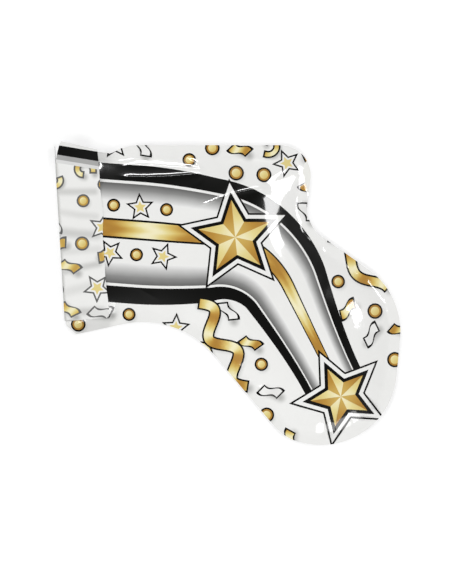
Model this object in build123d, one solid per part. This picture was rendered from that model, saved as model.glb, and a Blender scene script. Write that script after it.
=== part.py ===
from build123d import *
import os
from math import cos, pi, sin

# Self-inflating confetti popper: a heat-sealed foil pouch, die-cut in the outline of a toy hand gun.
# Millimetres. The pouch lies on its rear film with +Z up, its muzzle towards -X and its grip towards -Y.
# The origin is under the middle of the outline, on the surface that the pouch lies on.

# Film stock and seals
FILM = 0.25
WELD = 0.1
SEAL_WIDTH = 8.0
SEAT_GAP = 0.15
TRIM_SIZE = 600.0

# Die-cut outline, clockwise from the muzzle: corner places and corner radii
MUZZLE_END_X = -165.0
MUZZLE_TOP_Y = 104.9
SHOULDER_LOW_X = -84.3
SHOULDER_HIGH_X = -65.3
SHOULDER_RADIUS = 30.0
BARREL_TOP_Y = 108.3
BREECH_X = 63.2
BREECH_RADIUS = 22.0
NECK_X = 55.7
NECK_Y = 51.1
NECK_RADIUS = 26.0
GRIP_BACK_X = 127.7
GRIP_BACK_Y = 0.1
GRIP_BACK_RADIUS = 55.0
BUTT_X = 116.2
BUTT_Y = -121.9
BUTT_RADIUS = 55.0
TOE_X = 41.2
TOE_Y = -103.6
TOE_RADIUS = 37.0
ARCH_X = -35.5
ARCH_Y = -12.5
ARCH_RADIUS = 68.0
MUZZLE_BOTTOM_Y = -40.5

# Puff of the two films: how far each stands out from its seal, and over what run
FRONT_RISE = 8.0
REAR_RISE = 2.7
CROWN_RUN = 12.0
CROWN_SHARES = ((0.12, 0.28), (0.3, 0.57), (0.55, 0.82), (1.0, 1.0))

# Muzzle fold: a strip of the rear film wraps round the open muzzle and down over the front
FOLD_X = -117.0
FOLD_Y = -18.7
FOLD_TILT = 3.45
FOLD_LENGTH = 127.0
FOLD_GAP = 0.15
PANEL_INSET = 1.0
PANEL_CORNER_RUN = 16.0
FLAP_LENGTH = 31.4
FLAP_TAPER = 6.0
FLAP_CORNER_RADIUS = 2.0
FLAP_GAP = 0.15
ADHESIVE = 0.12
ADHESIVE_WIDTH = 8.0
ADHESIVE_INSET = 4.0
MUZZLE_CORNER_DROP = 3.0
MUZZLE_CORNER_SIZE = 40.0
MUZZLE_CORNER_ANGLE = -45.0

# Gas pack in the grip: a clear bag with a powder charge and a burstable sachet of liquid
PACK_ANGLE = 43.0
PACK_WIDTH = 56.0
PACK_LENGTH = 80.0
PACK_FILM = 0.15
PACK_SEAL = 4.0
PACK_RUN = 5.0
PACK_HEADROOM = 1.2
PACK_LOWER_SHARE = 0.4
CONTENTS_GAP = 1.0
SACHET_LENGTH_SHARE = 0.6
SACHET_FILM = 0.12
SACHET_SEAL = 2.5
SACHET_RUN = 4.0
SACHET_HEADROOM = 2.5
LIQUID_GAP = 0.4
POWDER_RUN = 4.0
POWDER_HEADROOM = 4.5

# Confetti charge in the barrel: each piece lies on a level of its own
CONFETTI = 0.2
CONFETTI_COUNT = 30
CHARGE_HEADROOM = 0.5
STRIP_LENGTH = 38.0
STRIP_WIDTH = 12.0
DISC_RADIUS = 6.5
STAR_RADIUS = 11.0
STAR_WAIST = 4.6
STAR_POINTS = 5
CHARGE_SETBACK = 64.0
CHARGE_LENGTH = 44.0
CHARGE_WIDTH = 38.0
SPREAD_SHARES = (0.618, 0.414)
TURN_STEP = 137.5

# Levels that follow from the sizes above
front_seal_z = REAR_RISE + WELD
front_top_z = front_seal_z + FRONT_RISE
flap_mid_z = front_top_z + FLAP_GAP + ADHESIVE + FILM / 2
fold_axis_z = FILM / 2
fold_clear = FILM / 2 + FOLD_GAP
fold = Pos(FOLD_X, FOLD_Y, 0) * Rot(0, 0, FOLD_TILT)
cavity_height = front_top_z - 2 * FILM


def pouch_outline():
    """Gun-shaped outline with its muzzle run on past the fold, so that the crown reaches the mouth."""
    corners = (
        (MUZZLE_END_X, MUZZLE_TOP_Y),
        (SHOULDER_LOW_X, MUZZLE_TOP_Y),
        (SHOULDER_HIGH_X, BARREL_TOP_Y),
        (BREECH_X, BARREL_TOP_Y),
        (NECK_X, NECK_Y),
        (GRIP_BACK_X, GRIP_BACK_Y),
        (BUTT_X, BUTT_Y),
        (TOE_X, TOE_Y),
        (ARCH_X, ARCH_Y),
        (MUZZLE_END_X, MUZZLE_BOTTOM_Y),
    )
    radii = (
        0,
        SHOULDER_RADIUS,
        SHOULDER_RADIUS,
        BREECH_RADIUS,
        NECK_RADIUS,
        GRIP_BACK_RADIUS,
        BUTT_RADIUS,
        TOE_RADIUS,
        ARCH_RADIUS,
        0,
    )
    return make_face(FilletPolyline(*corners, radius=radii, close=True))


def inset(profile, amount):
    """The same outline, drawn in by an even amount."""
    return offset(profile, -amount, kind=Kind.INTERSECTION)


def crown(rim, run, rise):
    """Solid dome over a rim, steep at the rim and level on top."""
    sections = [rim]
    for run_share, rise_share in CROWN_SHARES:
        sections.append(Pos(0, 0, rise * rise_share) * inset(rim, run * run_share))
    return loft(sections, ruled=True)


def puffed_film(outline, seal, run, rise, film):
    """Film with a flat seal margin at z = 0 and a crown that puffs up inside it."""
    dome = crown(inset(outline, seal), run, rise)
    return extrude(outline, film) + dome - Pos(0, 0, -film) * dome


def downward(film):
    """The same film, puffed down instead of up."""
    return mirror(film, about=Plane.XY)


def muzzle_trim(shape):
    """Cut a pouch piece off at the muzzle fold, and clip the lower muzzle corner."""
    keep = fold * Pos(fold_clear, 0, 0) * Box(
        TRIM_SIZE,
        TRIM_SIZE,
        TRIM_SIZE,
        align=(Align.MIN, Align.CENTER, Align.CENTER),
    )
    corner_place = fold * Pos(0, -MUZZLE_CORNER_DROP, 0) * Rot(0, 0, MUZZLE_CORNER_ANGLE)
    corner = corner_place * Box(
        MUZZLE_CORNER_SIZE,
        MUZZLE_CORNER_SIZE,
        MUZZLE_CORNER_SIZE,
        align=(Align.CENTER, Align.MAX, Align.CENTER),
    )
    return (shape & keep) - corner


def front_film():
    """Printed front film of the pouch."""
    film = puffed_film(pouch_outline(), SEAL_WIDTH, CROWN_RUN, FRONT_RISE, FILM)
    return muzzle_trim(Pos(0, 0, front_seal_z) * film)


def rear_film():
    """Printed rear film, with a broad level underside that the pouch lies on."""
    film = puffed_film(pouch_outline(), SEAL_WIDTH, CROWN_RUN, REAR_RISE, FILM)
    return muzzle_trim(Pos(0, 0, REAR_RISE) * downward(film))


def edge_seal():
    """Melted sealant that joins the two films round their margin, open at the muzzle."""
    outline = pouch_outline()
    ring = extrude(outline, WELD) - extrude(inset(outline, SEAL_WIDTH), WELD)
    return muzzle_trim(Pos(0, 0, REAR_RISE) * ring)


def muzzle_end_panel():
    """Strip of the rear film that stands across the open muzzle, rounded along both creases."""
    height = flap_mid_z - fold_axis_z
    section = Plane.XZ * Pos(0, fold_axis_z + height / 2) * SlotCenterToCenter(height, FILM, rotation=90)
    strip = extrude(section, -FOLD_LENGTH)
    side_view = (
        (PANEL_INSET + PANEL_CORNER_RUN, 0),
        (FOLD_LENGTH - PANEL_INSET - PANEL_CORNER_RUN, 0),
        (FOLD_LENGTH - PANEL_INSET, front_seal_z),
        (FOLD_LENGTH - PANEL_INSET, flap_mid_z + FILM),
        (PANEL_INSET, flap_mid_z + FILM),
        (PANEL_INSET, front_seal_z),
    )
    outline = Plane.YZ * make_face(Polyline(*side_view, close=True))
    return fold * (strip & extrude(outline, FILM, both=True))


def flap_outline():
    """Flap seen from above, in the fold's own axes: x inward from the fold, y along it."""
    corners = (
        (fold_clear, 0),
        (FLAP_LENGTH, 0),
        (FLAP_LENGTH, FOLD_LENGTH - FLAP_TAPER),
        (fold_clear, FOLD_LENGTH),
    )
    return make_face(FilletPolyline(*corners, radius=FLAP_CORNER_RADIUS, close=True))


def closure_flap():
    """Free end of the wrapped strip, lying over the front film."""
    return fold * Pos(0, 0, flap_mid_z - FILM / 2) * extrude(flap_outline(), FILM)


def flap_adhesive():
    """Peelable adhesive strip under the flap, along its free edge."""
    length = FOLD_LENGTH - FLAP_TAPER - 2 * ADHESIVE_INSET
    strip = Box(ADHESIVE_WIDTH, length, ADHESIVE, align=(Align.MAX, Align.MIN, Align.MAX))
    return fold * Pos(FLAP_LENGTH - ADHESIVE_INSET, ADHESIVE_INSET, flap_mid_z - FILM / 2) * strip


# The gas pack lies in the middle of the grip's corners, and what it holds lies on its level floor
pack_x = (NECK_X + GRIP_BACK_X + BUTT_X + TOE_X + ARCH_X) / 5
pack_y = (NECK_Y + GRIP_BACK_Y + BUTT_Y + TOE_Y + ARCH_Y) / 5
pack_height = cavity_height - SEAT_GAP - PACK_HEADROOM
pack_lower_rise = pack_height * PACK_LOWER_SHARE
pack_upper_rise = pack_height - pack_lower_rise
pack_floor_width = PACK_WIDTH - 2 * (PACK_SEAL + PACK_RUN)
pack_floor_length = PACK_LENGTH - 2 * (PACK_SEAL + PACK_RUN)
pack_floor_z = PACK_FILM + SEAT_GAP
pack_room = pack_height - 2 * PACK_FILM - SEAT_GAP
contents_width = pack_floor_width - 2 * CONTENTS_GAP
sachet_length = pack_floor_length * SACHET_LENGTH_SHARE - CONTENTS_GAP
sachet_rise = (pack_room - SACHET_HEADROOM) / 2
powder_length = pack_floor_length * (1 - SACHET_LENGTH_SHARE) - CONTENTS_GAP
powder_rise = pack_room - POWDER_HEADROOM
pack = Pos(pack_x, pack_y, FILM + SEAT_GAP) * Rot(0, 0, PACK_ANGLE)
sachet = pack * Pos(0, (pack_floor_length - sachet_length) / 2, pack_floor_z + sachet_rise)


def gas_pack_upper_film():
    """Upper film of the clear gas pack."""
    outline = Rectangle(PACK_WIDTH, PACK_LENGTH)
    film = puffed_film(outline, PACK_SEAL, PACK_RUN, pack_upper_rise, PACK_FILM)
    return pack * Pos(0, 0, pack_lower_rise) * film


def gas_pack_lower_film():
    """Lower film of the clear gas pack."""
    outline = Rectangle(PACK_WIDTH, PACK_LENGTH)
    film = puffed_film(outline, PACK_SEAL, PACK_RUN, pack_lower_rise, PACK_FILM)
    return pack * Pos(0, 0, pack_lower_rise) * downward(film)


def bicarbonate_powder():
    """Heap of powder at the butt end of the gas pack."""
    heap = crown(Rectangle(contents_width, powder_length), POWDER_RUN, powder_rise)
    return pack * Pos(0, (powder_length - pack_floor_length) / 2, pack_floor_z) * heap


def sachet_film():
    """One film of the liquid sachet, puffed up from its seal."""
    outline = Rectangle(contents_width, sachet_length)
    return puffed_film(outline, SACHET_SEAL, SACHET_RUN, sachet_rise, SACHET_FILM)


def citric_solution():
    """Liquid that fills the sachet."""
    outline = Rectangle(contents_width, sachet_length)
    rim = inset(outline, SACHET_SEAL + LIQUID_GAP)
    half = crown(rim, SACHET_RUN, sachet_rise - SACHET_FILM - SEAT_GAP)
    return sachet * (half + downward(half))


def strip_shape():
    """Confetti strip."""
    return Rectangle(STRIP_LENGTH, STRIP_WIDTH)


def disc_shape():
    """Confetti disc."""
    return Circle(DISC_RADIUS)


def star_shape():
    """Confetti star."""
    points = []
    for step in range(2 * STAR_POINTS):
        radius = STAR_WAIST if step % 2 else STAR_RADIUS
        angle = pi * step / STAR_POINTS
        points.append((radius * cos(angle), radius * sin(angle)))
    return make_face(Polyline(*points, close=True))


CONFETTI_KINDS = {
    "confetti_gold_strips": strip_shape,
    "confetti_white_discs": disc_shape,
    "confetti_gold_stars": star_shape,
    "confetti_white_strips": strip_shape,
    "confetti_gold_discs": disc_shape,
}


# The charge lies half way up the barrel and fills it from the rear film to just under the front film
charge_low_y = (BARREL_TOP_Y + ARCH_Y - CHARGE_WIDTH) / 2
confetti_step = (cavity_height - SEAT_GAP - CHARGE_HEADROOM) / CONFETTI_COUNT


def confetti_group(kind_index, shape):
    """All pieces of one kind: every fifth level of the charge, spread over it and turned."""
    pieces = []
    for level in range(kind_index, CONFETTI_COUNT, len(CONFETTI_KINDS)):
        x = FOLD_X + CHARGE_SETBACK + CHARGE_LENGTH * (level * SPREAD_SHARES[0] % 1)
        y = charge_low_y + CHARGE_WIDTH * (level * SPREAD_SHARES[1] % 1)
        z = FILM + SEAT_GAP + level * confetti_step
        pieces.append(Pos(x, y, z) * Rot(0, 0, level * TURN_STEP) * extrude(shape(), CONFETTI))
    return Compound(children=pieces)


def all_nodes():
    """Every piece of the popper by name."""
    nodes = {
        "front_film": front_film(),
        "rear_film": rear_film(),
        "edge_seal": edge_seal(),
        "muzzle_end_panel": muzzle_end_panel(),
        "closure_flap": closure_flap(),
        "flap_adhesive": flap_adhesive(),
        "gas_pack_upper_film": gas_pack_upper_film(),
        "gas_pack_lower_film": gas_pack_lower_film(),
        "bicarbonate_powder": bicarbonate_powder(),
        "sachet_upper_film": sachet * sachet_film(),
        "sachet_lower_film": sachet * downward(sachet_film()),
        "citric_solution": citric_solution(),
    }
    for kind_index, (name, shape) in enumerate(CONFETTI_KINDS.items()):
        nodes[name] = confetti_group(kind_index, shape)
    return nodes


os.makedirs("parts", exist_ok=True)
for name, piece in all_nodes().items():
    export_step(piece, f"parts/{name}.step")
print(f"crease axes at z = {fold_axis_z:.3f} and {flap_mid_z:.3f}, front film's top at z = {front_top_z:.3f}")
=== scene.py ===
import logging
from dataclasses import dataclass, field
from enum import Enum
from functools import partial
from math import ceil, cos, pi, radians, sin, sqrt
from typing import Callable

import bpy
import numpy as np
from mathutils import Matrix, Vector
from mathutils.geometry import delaunay_2d_cdt


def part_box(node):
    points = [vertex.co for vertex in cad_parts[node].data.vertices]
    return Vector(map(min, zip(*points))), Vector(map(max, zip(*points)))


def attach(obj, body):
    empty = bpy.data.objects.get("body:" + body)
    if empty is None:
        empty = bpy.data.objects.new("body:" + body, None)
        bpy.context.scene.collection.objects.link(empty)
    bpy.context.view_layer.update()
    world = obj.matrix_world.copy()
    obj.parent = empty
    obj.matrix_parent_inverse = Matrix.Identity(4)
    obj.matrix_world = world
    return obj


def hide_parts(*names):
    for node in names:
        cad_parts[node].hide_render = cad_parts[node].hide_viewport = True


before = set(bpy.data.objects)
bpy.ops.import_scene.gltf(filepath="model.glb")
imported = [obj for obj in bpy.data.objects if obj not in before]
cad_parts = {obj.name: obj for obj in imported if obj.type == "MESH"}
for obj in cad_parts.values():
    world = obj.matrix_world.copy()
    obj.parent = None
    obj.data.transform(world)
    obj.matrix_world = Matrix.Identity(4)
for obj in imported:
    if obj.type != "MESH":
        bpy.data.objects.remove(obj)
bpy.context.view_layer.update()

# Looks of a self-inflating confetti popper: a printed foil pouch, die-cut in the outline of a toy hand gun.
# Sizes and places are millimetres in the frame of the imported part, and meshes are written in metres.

LOG = logging.getLogger("confetti_popper")
MM = 0.001
STAR_TIPS = 5
NO_POINTS = np.empty((0, 2))
# Turn from one motif to the next, at which no two of them lie alike
GOLDEN_ANGLE = radians(137.5)
# Steps of the low-discrepancy sequence that scatters motifs: one over the plastic number, and its square
SCATTER_STEPS = np.array((0.7548776662, 0.5698402910))
# Points of a triangulation that are closer than this become one
MERGE_DISTANCE = 1e-4

Points = np.ndarray
Values = np.ndarray
Pair = tuple[float, float]
Colour = tuple[float, float, float, float]
Measure = Callable[[Points], Values]
Tone = Measure
Surface = Callable[[Points], Points]


class Ink(Enum):
    """Printed inks, in the order of a film's material slots."""

    WHITE = 0
    BLACK = 1
    GOLD = 2
    SILVER = 3


class PrintedSide(Enum):
    """Which side of a film carries the print."""

    UPPER = "upper"
    LOWER = "lower"


class Motif(Enum):
    """Kinds of printed confetti."""

    DISC = "disc"
    GOLD_FLAG = "gold flag"
    WHITE_FLAG = "white flag"
    STAR = "star"
    CURL = "curl"


# Finishes

def linear(code: str) -> Colour:
    """Turn an sRGB hex value into a linear colour.

    Args:
        code: Hash sign and six digits, such as #F1F1F0.

    Returns:
        Linear red, green and blue, and full opacity.
    """
    channels = np.array([int(code[at:at + 2], 16) for at in (1, 3, 5)]) / 255
    light = np.where(channels <= 0.04045, channels / 12.92, ((channels + 0.055) / 1.055) ** 2.4)
    return (*light.tolist(), 1.0)


def add_node(tree: bpy.types.NodeTree, kind: str, inputs: dict | None = None, **settings) -> bpy.types.Node:
    """Add a node with its settings and links.

    Args:
        tree: Node tree that gets the node.
        kind: Blender's name for the kind of node.
        inputs: Values, or sockets to link from, by the name or number of the input.
        settings: Properties of the node itself.

    Returns:
        The new node.
    """
    made = tree.nodes.new(kind)
    for name, value in settings.items():
        setattr(made, name, value)
    for name, value in (inputs or {}).items():
        if isinstance(value, bpy.types.NodeSocket):
            tree.links.new(value, made.inputs[name])
        else:
            made.inputs[name].default_value = value
    return made


@dataclass(frozen=True)
class Finish:
    """A surface finish: colours by tone, gloss, and the size of its mottle and crinkle.

    The tone is the piece's own attribute where it has a print, plus a little mottle.
    """

    name: str
    stops: tuple[tuple[float, str], ...]
    roughness: float
    metallic: float = 0.0
    ior: float = 1.5
    coat: float = 0.0
    coat_roughness: float = 0.06
    transmission: float = 0.0
    toned: bool = False
    gloss_spread: float = 0.25
    mottle: float = 0.1
    mottle_mm: float = 18.0
    crinkle_mm: float = 6.0
    crinkle_depth_mm: float = 0.015

    def material(self) -> bpy.types.Material:
        """Build the finish as a node material.

        Returns:
            The new material.
        """
        made = bpy.data.materials.new(self.name)
        made.use_nodes = True
        tree = made.node_tree
        tree.nodes.clear()
        place = add_node(tree, "ShaderNodeTexCoord").outputs["Object"]
        mottle, crinkle = (
            add_node(
                tree, "ShaderNodeTexNoise", {"Vector": place, "Scale": 1 / (size * MM), "Detail": detail}
            ).outputs["Fac"]
            for size, detail in ((self.mottle_mm, 3.0), (self.crinkle_mm, 2.0))
        )
        printed = 0.0
        if self.toned:
            printed = add_node(tree, "ShaderNodeAttribute", attribute_name="tone").outputs["Fac"]
        tone = add_node(
            tree, "ShaderNodeMath", {0: mottle, 1: self.mottle, 2: printed}, operation="MULTIPLY_ADD"
        )
        ramp = add_node(tree, "ShaderNodeValToRGB", {"Fac": tone.outputs[0]})
        elements = ramp.color_ramp.elements
        while len(elements) < len(self.stops):
            elements.new(1.0)
        for element, (position, code) in zip(elements, self.stops):
            element.position = position
            element.color = linear(code)
        matt = (1 + self.gloss_spread) * self.roughness
        gloss = add_node(
            tree,
            "ShaderNodeMapRange",
            {"Value": mottle, "To Min": (1 - self.gloss_spread) * self.roughness, "To Max": matt},
        )
        depth = self.crinkle_depth_mm * MM
        bump = add_node(tree, "ShaderNodeBump", {"Height": crinkle, "Strength": 1.0, "Distance": depth})
        shader = add_node(
            tree,
            "ShaderNodeBsdfPrincipled",
            {
                "Base Color": ramp.outputs["Color"],
                "Roughness": gloss.outputs["Result"],
                "Normal": bump.outputs["Normal"],
                "Metallic": self.metallic,
                "IOR": self.ior,
                "Coat Weight": self.coat,
                "Coat Roughness": self.coat_roughness,
                "Transmission Weight": self.transmission,
            },
        )
        add_node(tree, "ShaderNodeOutputMaterial", {"Surface": shader.outputs["BSDF"]})
        return made


def film_ink(colour: str, *stops: tuple[float, str]) -> Finish:
    """Make the finish of an ink on the film from the name of its colour and its colours by tone."""
    return Finish(f"{colour}_ink_on_polyester_film", stops, roughness=0.2, ior=1.2, coat=1.0, toned=True)


# Gravure ink under a clear polyester laminate: even colour, a wet-looking gloss and a faint crinkle
# The white ink's grey end gives the print's soft drop shadows, and on the flap the painted shade of its
# crease and streaks
WHITE_INK = film_ink("white", (0.0, "#F4F4F2"), (1.0, "#A3A3A0"))
BLACK_INK = film_ink("black", (0.0, "#0B0B0A"), (1.0, "#1C1C1A"))
SILVER_INK = film_ink("silver_grey", (0.0, "#3C3C3B"), (0.45, "#8F8F8E"), (0.8, "#CFCFCE"), (1.0, "#F0F0EF"))
# The same with a run of tones from bronze to pale yellow, which stand for the glints of foil
GOLD_INK = film_ink(
    "gold", (0.0, "#9A6A2C"), (0.3, "#BE9142"), (0.6, "#DBBF6C"), (0.85, "#EADC9A"), (1.0, "#F6EFC8")
)
# Aluminium vapour on the film's inner side: a satin mirror, streaked by the crinkle of the film
INNER_FOIL = Finish(
    "metallised_film_inside", ((0.0, "#C4C6C9"), (1.0, "#9EA0A4")), 0.28, metallic=1.0, crinkle_depth_mm=0.06
)
# Melted polyethylene sealant: milky and waxy
SEALANT = Finish("polyethylene_sealant", ((0.0, "#EDEDE8"), (1.0, "#D9D9D2")), 0.45)
# Pressure-sensitive acrylic strip: yellowish, tacky and shiny
ADHESIVE = Finish("acrylic_peel_adhesive", ((0.0, "#E6DFC4"), (1.0, "#CFC39B")), 0.22, mottle=0.5)
# Blown polyethylene bag film: clear, with soft creases that catch the light
CLEAR_FILM = Finish(
    "clear_polyethylene_film",
    ((0.0, "#F2F5F6"), (1.0, "#DCE3E6")),
    0.16,
    transmission=0.85,
    crinkle_depth_mm=0.05,
)
# Sodium bicarbonate: dull white grains
POWDER = Finish(
    "bicarbonate_powder",
    ((0.0, "#F3F3EF"), (1.0, "#DADAD3")),
    0.9,
    mottle=0.8,
    mottle_mm=1.2,
    crinkle_mm=0.7,
    crinkle_depth_mm=0.25,
)
# Weak citric acid in water: clear, with the bend of water
LIQUID = Finish(
    "citric_acid_solution", ((0.0, "#EEF4F3"), (1.0, "#E2ECEA")), 0.03, ior=1.34, transmission=0.95
)
# Gold-tinted metallised polyester flakes: bright, mirror-like and cut flat
GOLD_FLAKE = Finish(
    "gold_metallised_confetti",
    ((0.0, "#E3C266"), (1.0, "#C79A3C")),
    0.22,
    metallic=1.0,
    crinkle_depth_mm=0.04,
)
# Thin tissue paper: matt white with long soft fibres
WHITE_TISSUE = Finish(
    "white_tissue_confetti",
    ((0.0, "#F5F5F1"), (1.0, "#DEDED8")),
    0.85,
    mottle=0.5,
    mottle_mm=2.5,
    crinkle_mm=1.6,
)
FILM_FINISHES = (WHITE_INK, BLACK_INK, GOLD_INK, SILVER_INK, INNER_FOIL)


class FinishShelf:
    """Materials by finish, each made once."""

    def __init__(self) -> None:
        """Start with no material made."""
        self.made: dict[str, bpy.types.Material] = {}

    def take(self, finish: Finish) -> bpy.types.Material:
        """Take the material of a finish, which is made the first time.

        Args:
            finish: The finish.

        Returns:
            Its material.
        """
        if finish.name not in self.made:
            self.made[finish.name] = finish.material()
        return self.made[finish.name]


# Plane geometry

def smooth(values: Values, start: float = 0.0, run: float = 1.0) -> Values:
    """Ease from 0 at the start to 1 after the run, level at both ends: three squares less two cubes."""
    share = np.clip((values - start) / run, 0, 1)
    return share * share * (3 - 2 * share)


def direction(angle: Values) -> Points:
    """Unit vectors at angles in radians."""
    return np.stack((np.cos(angle), np.sin(angle)), axis=-1)


def unit(vectors: Points) -> Points:
    """Vectors divided by their lengths."""
    return vectors / np.linalg.norm(vectors, axis=-1, keepdims=True)


def leftward(ahead: Points) -> Points:
    """Vectors in the plane turned a quarter turn to the left."""
    return np.stack((-ahead[..., 1], ahead[..., 0]), axis=-1)


def turned(points: Points, angle: float) -> Points:
    """Points in the plane turned about the origin by an angle in degrees."""
    c, s = cos(radians(angle)), sin(radians(angle))
    return points @ np.array(((c, s), (-s, c)))


def headings(path: Points) -> tuple[Points, Points]:
    """Unit vectors ahead and to the left at each sample of a path."""
    ahead = unit(np.gradient(path, axis=0))
    return ahead, leftward(ahead)


def distances(points: Points, path: Points) -> Values:
    """Distance of each point from each sample of a path."""
    return np.linalg.norm(points[:, None] - path[None], axis=2)


def share_along(points: Points, start: Points, end: Points) -> Values:
    """Share of the way from start to end at which each point lies, square to the way."""
    way = end - start
    return ((points - start) @ way) / (way @ way)


def refined(points: Points, step: float) -> Points:
    """Divide the sides of a closed polygon evenly, so that none is longer than a step.

    Args:
        points: Corners of the polygon.
        step: Longest side allowed.

    Returns:
        Corners with the added points between them.
    """
    side = np.roll(points, -1, axis=0) - points
    count = np.maximum(1, np.ceil(np.linalg.norm(side, axis=1) / step)).astype(int)
    first = np.cumsum(count) - count
    share = (np.arange(count.sum()) - np.repeat(first, count)) / np.repeat(count, count)
    return np.repeat(points, count, axis=0) + np.repeat(side, count, axis=0) * share[:, None]


class RoundedPath:
    """Polygon with arcs for corners: an arc starts radius times tan(half the turn) from its corner."""

    def __init__(self, corners: Points, radii: Values, closed: bool = True) -> None:
        """Work out the arcs and the straight runs between them.

        Args:
            corners: Corner points in order.
            radii: Arc radius at each corner.
            closed: Whether the side from the last corner to the first counts as an edge.
        """
        back = unit(np.roll(corners, 1, axis=0) - corners)
        ahead = unit(np.roll(corners, -1, axis=0) - corners)
        half_turn = (pi - np.arccos(np.clip((back * ahead).sum(1), -1, 1))) / 2
        reach = (radii * np.tan(half_turn))[:, None]
        self.centre = corners + unit(back + ahead) * (radii / np.cos(half_turn))[:, None]
        self.radius = radii
        self.arc_start = corners + back * reach
        self.arc_end = corners + ahead * reach
        self.first_angle = np.arctan2(*(self.arc_start - self.centre).T[::-1])
        last_angle = np.arctan2(*(self.arc_end - self.centre).T[::-1])
        self.sweep = (last_angle - self.first_angle + pi) % (2 * pi) - pi
        self.run = np.roll(self.arc_start, -1, axis=0) - self.arc_end
        self.run_length = np.linalg.norm(self.run, axis=1)
        self.arc_length = np.abs(self.sweep) * radii
        lengths = np.stack((self.arc_length, self.run_length), axis=1).ravel()
        self.place = (np.cumsum(lengths) - lengths).reshape(-1, 2)
        self.runs = len(self.run) if closed else len(self.run) - 1

    def arc(self, index: int, count: int) -> Points:
        """Samples along the arc of one corner."""
        angle = self.first_angle[index] + self.sweep[index] * np.linspace(0, 1, count)
        return self.centre[index] + self.radius[index] * direction(angle)

    def outline(self, step: float) -> Points:
        """Sample the closed outline: points about a step apart on arcs, and two steps on straight runs."""
        counts = [ceil(length / step) + 1 for length in self.arc_length]
        return refined(np.concatenate([self.arc(*pair) for pair in enumerate(counts)]), 2 * step)

    def nearest(self, points: Points) -> tuple[Values, Values]:
        """Measure points against the edge.

        Args:
            points: Places in the plane.

        Returns:
            Distance of each point from the edge, and the length along the edge of its nearest point.
        """
        run = self.run[:self.runs]
        run_length = self.run_length[:self.runs]
        off = points[:, None] - self.arc_end[None, :self.runs]
        along = np.clip((off * run).sum(2) / run_length ** 2, 0, 1)
        run_gap = np.linalg.norm(off - along[..., None] * run, axis=2)
        run_place = self.place[:self.runs, 1] + along * run_length
        out = points[:, None] - self.centre[None]
        angle = np.arctan2(out[..., 1], out[..., 0]) - self.first_angle
        turn = np.where(self.sweep < 0, -1, 1) * angle % (2 * pi)
        on_arc = turn <= np.abs(self.sweep)
        arc_gap = np.where(on_arc, np.abs(np.linalg.norm(out, axis=2) - self.radius), np.inf)
        arc_place = self.place[:, 0] + turn * self.radius
        gap = np.concatenate((run_gap, arc_gap), axis=1)
        place = np.concatenate((run_place, arc_place), axis=1)
        best = gap.argmin(axis=1)[:, None]
        return np.take_along_axis(gap, best, 1)[:, 0], np.take_along_axis(place, best, 1)[:, 0]


def chord_gap(points: Points, path: Points) -> Values:
    """Measure points against an open polyline.

    Args:
        points: Places in the plane.
        path: Corners of the polyline.

    Returns:
        Distance of each point from the nearest place on the polyline.
    """
    step = np.diff(path, axis=0)
    off = points[:, None] - path[None, :-1]
    share = np.clip((off * step).sum(2) / (step * step).sum(1), 0, 1)
    return np.linalg.norm(off - share[..., None] * step, axis=2).min(axis=1)


def bent_path(points: tuple[Pair, ...], count: int) -> Points:
    """Smooth path through a few points: each coordinate is a polynomial of the share of the way.

    Args:
        points: Points to pass through, evenly spaced in the share of the way.
        count: Number of samples.

    Returns:
        Samples along the path.
    """
    share = np.linspace(0, 1, len(points))
    fine = np.linspace(0, 1, count)
    fits = [np.polyfit(share, axis, len(points) - 1) for axis in np.array(points).T]
    return np.stack([np.polyval(fit, fine) for fit in fits], axis=1)


def ribbon_outline(path: Points, half_width: float, overrun: float = 0.0) -> Points:
    """Outline of a ribbon: its path moved to both sides by the half width, with both ends run on.

    Args:
        path: Middle line of the ribbon.
        half_width: Half of its width.
        overrun: Length added at each end.

    Returns:
        Closed outline.
    """
    ahead, left = headings(path)
    line = path.copy()
    line[0] -= ahead[0] * overrun
    line[-1] += ahead[-1] * overrun
    return np.concatenate((line - half_width * left, (line + half_width * left)[::-1]))


def star_outline(centre: Points, radius: float, waist: float, turn: float, stroke: float = 0.0) -> Points:
    """Outline of a star: tips and notches alternate at even angles, and a stroke moves all sides out.

    The stroke scales the star by one plus the stroke over the distance of a side from the centre.

    Args:
        centre: Middle of the star.
        radius: Distance of the tips.
        waist: Distance of the notches.
        turn: Angle of the first tip in radians.
        stroke: How far the sides move out.

    Returns:
        Corners of the star, from the first tip on.
    """
    side = waist * direction(np.array(pi / STAR_TIPS)) - (radius, 0.0)
    scale = 1 + stroke / (abs(radius * side[1]) / np.linalg.norm(side))
    number = np.arange(2 * STAR_TIPS)
    reach = scale * np.where(number % 2, waist, radius)
    return centre + reach[:, None] * direction(turn + number * pi / STAR_TIPS)


# Print

def even(value: float) -> Tone:
    """Same tone all over."""
    return lambda points: np.full(len(points), value)


def swing(low: float, high: float, waves: Values) -> Values:
    """Swing from low to high and back once per wave, along a cosine."""
    return low + (high - low) * (0.5 - 0.5 * np.cos(2 * pi * waves))


def sweep_tone(
    start: Points, end: Points, low: float, high: float, waves: float = 0.5, shift: float = 0.0
) -> Tone:
    """Tone that swings between two values in waves along a line.

    Args:
        start: Where the first wave starts.
        end: Where the last wave ends.
        low: Lowest tone.
        high: Highest tone.
        waves: Number of waves from start to end.
        shift: Share of a wave that the first one is moved by.

    Returns:
        Function that gives points their tone.
    """
    return lambda points: swing(low, high, waves * share_along(points, start, end) + shift)


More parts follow.
